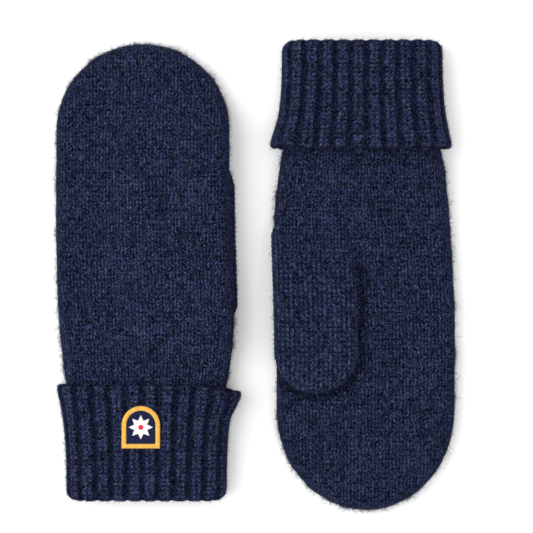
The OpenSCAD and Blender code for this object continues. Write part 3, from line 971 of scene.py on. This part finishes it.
def badgePlace(side):
    low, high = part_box(side + "_badge_border")
    place = places[side]
    ys = sorted(((low.y - place["y"]) * place["turn"], (high.y - place["y"]) * place["turn"]))
    up = 1 if side == "left" else -1
    return {"x": ((low.x + high.x) / 2 - place["x"]) * place["turn"] / mm, "y": ys[0] / mm,
            "half": (high.x - low.x) / 2 / mm, "height": (ys[1] - ys[0]) / mm,
            "up": up, "z": place["cuffMid"] + up * place["cuffHalfThick"]}


def onBadge(side, x, y, z):
    spot = badgePlace(side)
    return toPair(side, np.stack([spot["x"] + x, spot["y"] + y, spot["z"] + spot["up"] * z], 1))


def archEdge(spot, share, inset):
    # A point on the arch, set in from its outline. share runs right round it from the middle of its foot.
    half, straight = spot["half"], spot["height"] - spot["half"]
    quarter = half * (1 + math.pi / 2) + straight
    run = (0.5 - np.abs(share % 1 - 0.5)) * 2 * quarter
    turn = np.clip((run - half - straight) / half, 0, math.pi / 2)
    climb = inset + (straight - inset) * (run - half) / straight
    parts = [run < half, run < half + straight]       # The foot, then the straight side, then the arch
    x = np.select(parts, [run / half, 1 + 0 * run], np.cos(turn)) * (half - inset)
    y = np.select(parts, [inset, climb], straight + (half - inset) * np.sin(turn))
    return np.where(share % 1 < 0.5, x, -x), y


def makeBorder(side):
    spot = badgePlace(side)
    around = 2 * (spot["half"] * (1 + math.pi / 2) + spot["height"] - spot["half"])
    threads = round(around / badge["thread"])
    arc = np.linspace(0, math.pi, 11)
    insets = np.concatenate([badge["border"] / 2 * (1 - np.cos(arc)), [badge["border"] - 0.1, 0.1]])
    heights = np.concatenate([0.1 + badge["high"] * np.sin(arc) ** 0.75, [-0.3, -0.3]])
    mesh, column, row = makeGrid(threads * 4, len(insets))
    row = row % len(insets)
    share, inset = column / (threads * 4), insets[row]
    thread = 0.5 + 0.5 * np.cos(2 * math.pi * (share * threads + badge["lean"] * inset / badge["border"]))
    x, y = archEdge(spot, share, inset)
    z = heights[row] + badge["ridge"] * (thread - 0.6) * (row < 11)
    setPoints(mesh, onBadge(side, x, y, z))
    setAttribute(mesh, "relief", thread)
    finishPiece(side + "_badge_edging", closeUp(mesh), materials["gold"], side + "_cuff",
                [side + "_badge_border"])


def makeGround(side):
    spot = badgePlace(side)
    insets = np.concatenate([np.linspace(0.6, spot["half"], 9), np.linspace(spot["half"], 0.6, 4)])
    mesh, column, row = makeGrid(120, len(insets))
    row = row % len(insets)
    x, y = archEdge(spot, column / 120, insets[row])
    setPoints(mesh, onBadge(side, x, y, np.where(row < 9, badge["groundHigh"], 0)))
    bm = bmesh.new()
    bm.from_mesh(mesh)
    inner = [f for f in bm.faces if {int(row[v.index]) for v in f.verts} == {8, 9}]
    bmesh.ops.delete(bm, geom=inner, context="FACES")
    bm.to_mesh(mesh)
    bm.free()
    finishPiece(side + "_badge_cloth", closeUp(mesh), materials["patch"], side + "_cuff",
                [side + "_badge_ground"])


def makeStar(side):
    spot = badgePlace(side)
    rows = 12
    petals = []
    for i in range(badge["petals"]):
        mesh, column, row = makeGrid(84, rows)
        out, row = column / 84, row % rows
        wide = badge["petalHalf"] * np.minimum(out / 0.45, (1 - out) / 0.55)
        v = np.where(row < 9, -1 + row / 4, 1 - (row - 8) / 2)
        satin = np.cos(2 * math.pi * out * badge["reach"] / badge["satin"] + 0.5 * np.abs(v))
        swell = (1 - np.abs(v) ** 2.4) - 0.25 * np.exp(-(v / 0.16) ** 2)
        z = np.where(row < 9, badge["groundHigh"] + 0.05 + badge["petalHigh"] * swell + 0.035 * satin * swell,
                     badge["groundHigh"] - 0.1)
        turn = 2 * math.pi * i / badge["petals"]
        x, y = out * badge["reach"], v * wide
        setPoints(mesh, onBadge(side, x * math.cos(turn) - y * math.sin(turn),
                                spot["height"] / 2 + x * math.sin(turn) + y * math.cos(turn), z))
        setAttribute(mesh, "relief", 0.65 + 0.35 * satin)
        petals.append(closeUp(mesh))
    bm = bmesh.new()
    for petal in petals:
        bm.from_mesh(petal)
    star = bpy.data.meshes.new("star")
    bm.to_mesh(star)
    bm.free()
    finishPiece(side + "_snow_star", star, materials["white"], side + "_cuff", [side + "_badge_star"])


def makeKnot(side):
    spot = badgePlace(side)
    mesh, column, row = makeGrid(64, 11)
    turn, share = 2 * math.pi * column / 64, np.minimum(row / 10, 1)
    out = np.where(row < 11, badge["knot"] * np.sin(share * math.pi / 2), 0)
    coil = np.cos(5 * turn + 9 * share)
    high = badge["groundHigh"] + badge["knotHigh"] * (1 + 0.12 * coil) * np.cos(share * math.pi / 2)
    high = np.where(row < 11, high, badge["groundHigh"] - 0.1)
    setPoints(mesh, onBadge(side, out * np.cos(turn), spot["height"] / 2 + out * np.sin(turn), high))
    setAttribute(mesh, "relief", 0.6 + 0.4 * coil)
    finishPiece(side + "_star_knot", closeUp(mesh), materials["red"], side + "_cuff",
                [side + "_badge_star_centre"])


def makeTacks(side):
    # The running stitch that holds the badge on, along the middle of its border
    spot = badgePlace(side)
    middle = badge["border"] / 2
    around = 2 * ((spot["half"] - middle) * (1 + math.pi / 2) + spot["height"] - spot["half"])
    number = round(around / badge["tack"])
    bm = bmesh.new()
    for i in range(number):
        made = bmesh.ops.create_uvsphere(bm, u_segments=8, v_segments=6, radius=1)["verts"]
        share = np.array([(i + 0.5) / number, (i + 0.5) / number + 0.002])
        x, y = archEdge(spot, share, middle)
        along = Vector((x[1] - x[0], y[1] - y[0], 0)).normalized()
        across = Vector((-along.y, along.x, 0))
        for v in made:
            v.co = (along * v.co.x * 0.75 + across * v.co.y * 0.32
                    + Vector((x[0], y[0], 0.12 + badge["high"] + v.co.z * 0.12)))
    mesh = bpy.data.meshes.new("tacks")
    bm.to_mesh(mesh)
    bm.free()
    points = getPoints(mesh)
    setPoints(mesh, onBadge(side, *points.T))
    setAttribute(mesh, "relief", np.full(len(points), 0.7))
    if spot["up"] < 0:
        mesh.flip_normals()
    finishPiece(side + "_badge_tacks", mesh, materials["gold"], side + "_cuff", [side + "_badge_stitches"])


seam = {"yarn": 0.9, "y": 59.1, "halfWide": 45.2, "halfThick": 5.1, "ring": 13.9, "twist": 2.4}
label = {"x": -30, "y": 47.2, "wide": 14, "long": 22, "thick": 0.5}


def makeYarn(side, name, centres, normalX, normalY, normalZ, alongWay, body, node):
    # A plied yarn along a closed line of centres
    number = len(centres)
    mesh, column, row = makeGrid(number, 10)
    column, turn = column % number, 2 * math.pi * (row % 10) / 10
    length = np.linalg.norm(centres - np.roll(centres, 1, axis=0), axis=1).cumsum()[column]
    ply = np.abs(np.cos(turn - math.pi * length / seam["twist"]))
    r = seam["yarn"] * (0.72 + 0.28 * ply)
    out = np.stack([normalX, normalY, normalZ], 1)[column]
    points = centres[column] + (out * np.cos(turn)[:, None] + alongWay * np.sin(turn)[:, None]) * r[:, None]
    setPoints(mesh, toPair(side, points))
    finishPiece(name, closeUp(mesh), materials["yarn"], body, [node])


def makeSeams(side):
    place = places[side]
    share = np.arange(420) / 420
    y = np.full(420, seam["y"])
    centres, nx, nz = onTube(share, 0, y, seam["halfWide"], seam["halfThick"])
    centres[:, 2] += place["cuffMid"]
    makeYarn(side, side + "_lining_yarn", centres, nx, 0 * nx, nz, np.array([0, 1, 0]), side + "_mitten",
             side + "_lining_seam")
    low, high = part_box(side + "_thumb_join_seam")
    turn = 2 * math.pi * np.arange(180) / 180
    middle = place["thumbFrom"] + place["thumbHalf"]
    centres = np.stack([place["thumbX"] + seam["ring"] * np.cos(turn), middle + seam["ring"] * np.sin(turn),
                        0 * turn + (low.z + high.z) / 2 / mm], 1)
    makeYarn(side, side + "_thumb_yarn", centres, np.cos(turn), np.sin(turn), 0 * turn, np.array([0, 0, 1]),
             side + "_mitten", side + "_thumb_join_seam")


def makeLabel(side):
    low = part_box(side + "_care_label")[0]
    bm = bmesh.new()
    bmesh.ops.create_grid(bm, x_segments=14, y_segments=22, size=1)
    for part in bmesh.ops.extrude_face_region(bm, geom=bm.faces[:])["geom"]:
        if isinstance(part, bmesh.types.BMVert):
            part.co.z = 1
    bmesh.ops.recalc_face_normals(bm, faces=bm.faces)
    mesh = bpy.data.meshes.new("label")
    bm.to_mesh(mesh)
    bm.free()
    points = getPoints(mesh)
    x, y = label["x"] + points[:, 0] * label["wide"] / 2, label["y"] + points[:, 1] * label["long"] / 2
    curl = 0.5 * ((1 - points[:, 1]) / 2) ** 2 + 0.12 * np.sin(points[:, 0] * 2.2)
    z = low.z / mm + 0.15 + curl + points[:, 2] * (label["thick"] - 0.2)
    setPoints(mesh, toPair(side, np.stack([x, y, z], 1)))
    piece = finishPiece(side + "_satin_label", mesh, materials["label"], side + "_mitten",
                        [side + "_care_label"])


fibres = {
    "hand": {"count": 28500, "length": 1.7, "thick": (0.06, 0.15), "rise": (0.02, 0.9),
             "combed": 1.0, "seed": 51},
    "thumb": {"count": 7000, "length": 1.7, "thick": (0.06, 0.15), "rise": (0.02, 0.9),
              "combed": 1.0, "seed": 52},
    "edge": {"count": 7600, "length": 2.4, "thick": (0.10, 0.22), "rise": (0.1, 0.95),
             "combed": 1.0, "seed": 54},
    "cuff": {"count": 19000, "length": 1.6, "thick": (0.06, 0.14), "rise": (0.02, 0.85),
             "combed": 1.2, "seed": 53},
    "steep": 0.45, "under": 0.3}


def toLocal(side, points):
    place = places[side]
    out = points / mm
    out[:, 0] = (points[:, 0] - place["x"]) * place["turn"] / mm
    out[:, 1] = (points[:, 1] - place["y"]) * place["turn"] / mm
    out[:, 0] -= leanAt(out[:, 1])
    return out


def density(normals, extra):
    # Steep skin gets more fibres, and the underside fewer
    side = 1 + extra * (normals[:, 2] < fibres["steep"])
    return np.where(normals[:, 2] > -0.35, side, fibres["under"])


def makeFibres(side, handSkin, thumbSkin, cuffSkin):
    place = places[side]
    palm = 1 if side == "right" else -1

    def keepHand(points, normals):
        spot = toLocal(side, points)
        underThumb = ((np.abs(spot[:, 0] - place["thumbX"]) < place["thumbHalf"] - 1)
                      & (spot[:, 1] > place["thumbFrom"] + 24) & (spot[:, 1] < place["thumbTo"] - 2)
                      & (normals[:, 2] * palm > 0))
        seen = spot[:, 1] > place["cuffDepth"] - 1
        return np.where(underThumb | ~seen, 0, density(normals, 1.6))

    def keepEdge(points, normals):
        # Clumps of longer fuzz round the outline
        spot = toLocal(side, points)
        clump = ripples(spot[:, 0], spot[:, 1], 14, fibres["edge"]["seed"])
        clump += 0.6 * ripples(spot[:, 0], spot[:, 1], 4, 9)
        edge = (spot[:, 1] > place["cuffDepth"] + 1) & (np.abs(normals[:, 2]) < 0.5)
        return edge * np.clip(0.45 + clump, 0.08, 2)

    def keepThumb(points, normals):
        spot = toLocal(side, points)
        return (normals[:, 2] * palm > -0.3) * (spot[:, 1] > place["thumbFrom"] + 20) * 1.0

    def keepCuff(points, normals):
        spot = toLocal(side, points)
        outward = (normals[:, 2] * (spot[:, 2] - place["cuffMid"])
                   + normals[:, 0] * place["turn"] * spot[:, 0] * 0.2)
        return np.where(outward > 0, density(normals, 1.2), 0)

    makeFuzz(side + "_hand_fibres", handSkin, fibres["hand"], side + "_mitten", keepHand)
    makeFuzz(side + "_edge_fibres", handSkin, fibres["edge"], side + "_mitten", keepEdge)
    blendThumb(side, makeFuzz(side + "_thumb_fibres", thumbSkin, fibres["thumb"], None, keepThumb))
    makeFuzz(side + "_cuff_fibres", cuffSkin, fibres["cuff"], side + "_cuff", keepCuff)


for side in sides:
    handSkin = makeHand(side)
    makeLining(side)
    thumbSkin = makeThumb(side)
    makeThumbLining(side)
    cuffSkin = makeCuff(side)
    makeSleeve(side)
    print(side, "mitten knitted")
    makeBorder(side)
    makeGround(side)
    makeStar(side)
    makeKnot(side)
    makeTacks(side)
    makeSeams(side)
    makeLabel(side)
    makeFibres(side, handSkin, thumbSkin, cuffSkin)
    print(side, "mitten sewn and brushed")


# The camera looks straight down at the pair
view = {"x": 0.0077, "y": 0.0058, "wide": 0.3358, "lens": 100, "sensor": 36, "height": 0.016}
camera = bpy.data.cameras.new("camera")
camera.lens = view["lens"]
camera.sensor_width = view["sensor"]
cameraObject = bpy.data.objects.new("camera", camera)
bpy.context.scene.collection.objects.link(cameraObject)
cameraObject.location = (view["x"], view["y"], view["height"] + view["wide"] * view["lens"] / view["sensor"])
bpy.context.scene.camera = cameraObject


lights = {
    "softKey": {"place": (-1.15, 0.05, 1.5), "size": 1.5, "power": 19},
    "softTop": {"place": (0, 0, 1.6), "size": 1.4, "power": 8.5}}
skyStrength = 0.86


def areaLight(name, place, size, power):
    # A soft square lamp that faces the middle of the pair
    data = bpy.data.lights.new(name, "AREA")
    data.size = size
    data.energy = power
    lamp = bpy.data.objects.new(name, data)
    bpy.context.scene.collection.objects.link(lamp)
    lamp.location = place
    lamp.rotation_euler = (-Vector(place)).to_track_quat("-Z", "Y").to_euler()


for name, lamp in lights.items():
    areaLight(name, **lamp)

world = bpy.data.worlds.new("studio")
bpy.context.scene.world = world
world.use_nodes = True
world.node_tree.nodes["Background"].inputs["Color"].default_value = (1, 1, 1, 1)
world.node_tree.nodes["Background"].inputs["Strength"].default_value = skyStrength
bpy.context.scene.view_settings.view_transform = "Standard"

floorMaterial, _, floorShader, _ = newMaterial("paleFloor")
floorShader.inputs["Base Color"].default_value = (0.93, 0.93, 0.93, 1)
floorShader.inputs["Roughness"].default_value = 0.9
floorMesh = bpy.data.meshes.new("floor")
bm = bmesh.new()
bmesh.ops.create_grid(bm, x_segments=1, y_segments=1, size=4)
bm.to_mesh(floorMesh)
bm.free()
floor = bpy.data.objects.new("floor", floorMesh)
bpy.context.scene.collection.objects.link(floor)
floorMesh.materials.append(floorMaterial)
